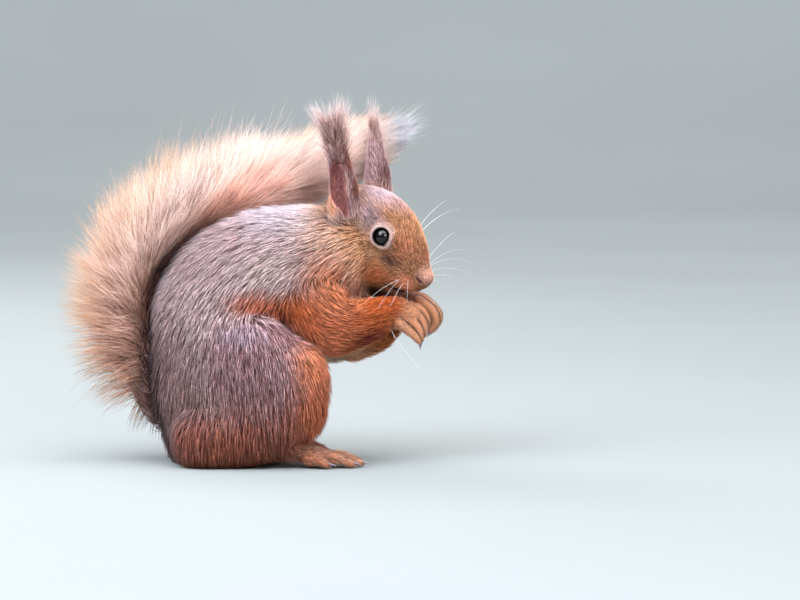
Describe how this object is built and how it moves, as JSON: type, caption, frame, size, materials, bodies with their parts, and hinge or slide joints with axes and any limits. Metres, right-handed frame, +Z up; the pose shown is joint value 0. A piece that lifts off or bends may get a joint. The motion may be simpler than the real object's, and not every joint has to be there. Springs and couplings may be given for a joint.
{
  "type": "red squirrel",
  "caption": "Life-size still model of a red squirrel sitting up, hands held to its mouth, ears tufted and bushy tail laid forward over its back.",
  "frame": {"origin": "on the floor at the middle of the flat the rump rests on", "axes": "+X the way the animal faces, +Y to its left, +Z up"},
  "size_m": [0.1658, 0.086, 0.1568],
  "materials": {
    "orange_fur": "short soft orange-brown fur",
    "grey_fur": "short fur, grey-mauve over rusty brown, hair tips pale",
    "thigh_fur": "short fur, mauve-brown going rusty at the edge",
    "ear_fur": "thin short fur with a long tuft at the tip",
    "tail_fur": "long loose salmon-brown hair, pale at the tips",
    "pale_tail_fur": "long loose cream hair",
    "bare_skin": "thin-haired pinkish skin, with horn claws",
    "eye": "wet-looking, very dark brown"
  },
  "bodies": {
    "root": {"head": "orange_fur", "neck": "grey_fur", "chest": "orange_fur", "belly": "orange_fur", "trunk": "grey_fur", "ear_right": "ear_fur", "ear_left": "ear_fur", "eye_right": "eye", "eye_left": "eye", "upper_arm_right": "grey_fur", "upper_arm_left": "grey_fur", "forearm_right": "orange_fur", "forearm_left": "orange_fur", "hand_right": "bare_skin", "hand_left": "bare_skin", "thigh_right": "thigh_fur", "thigh_left": "thigh_fur", "lower_leg_right": "orange_fur", "lower_leg_left": "orange_fur", "hind_foot_right": "orange_fur", "hind_foot_left": "orange_fur", "tail_base": "tail_fur", "tail_lower": "tail_fur", "tail_upper": "pale_tail_fur", "tail_tip": "pale_tail_fur"}
  },
  "joints": []
}
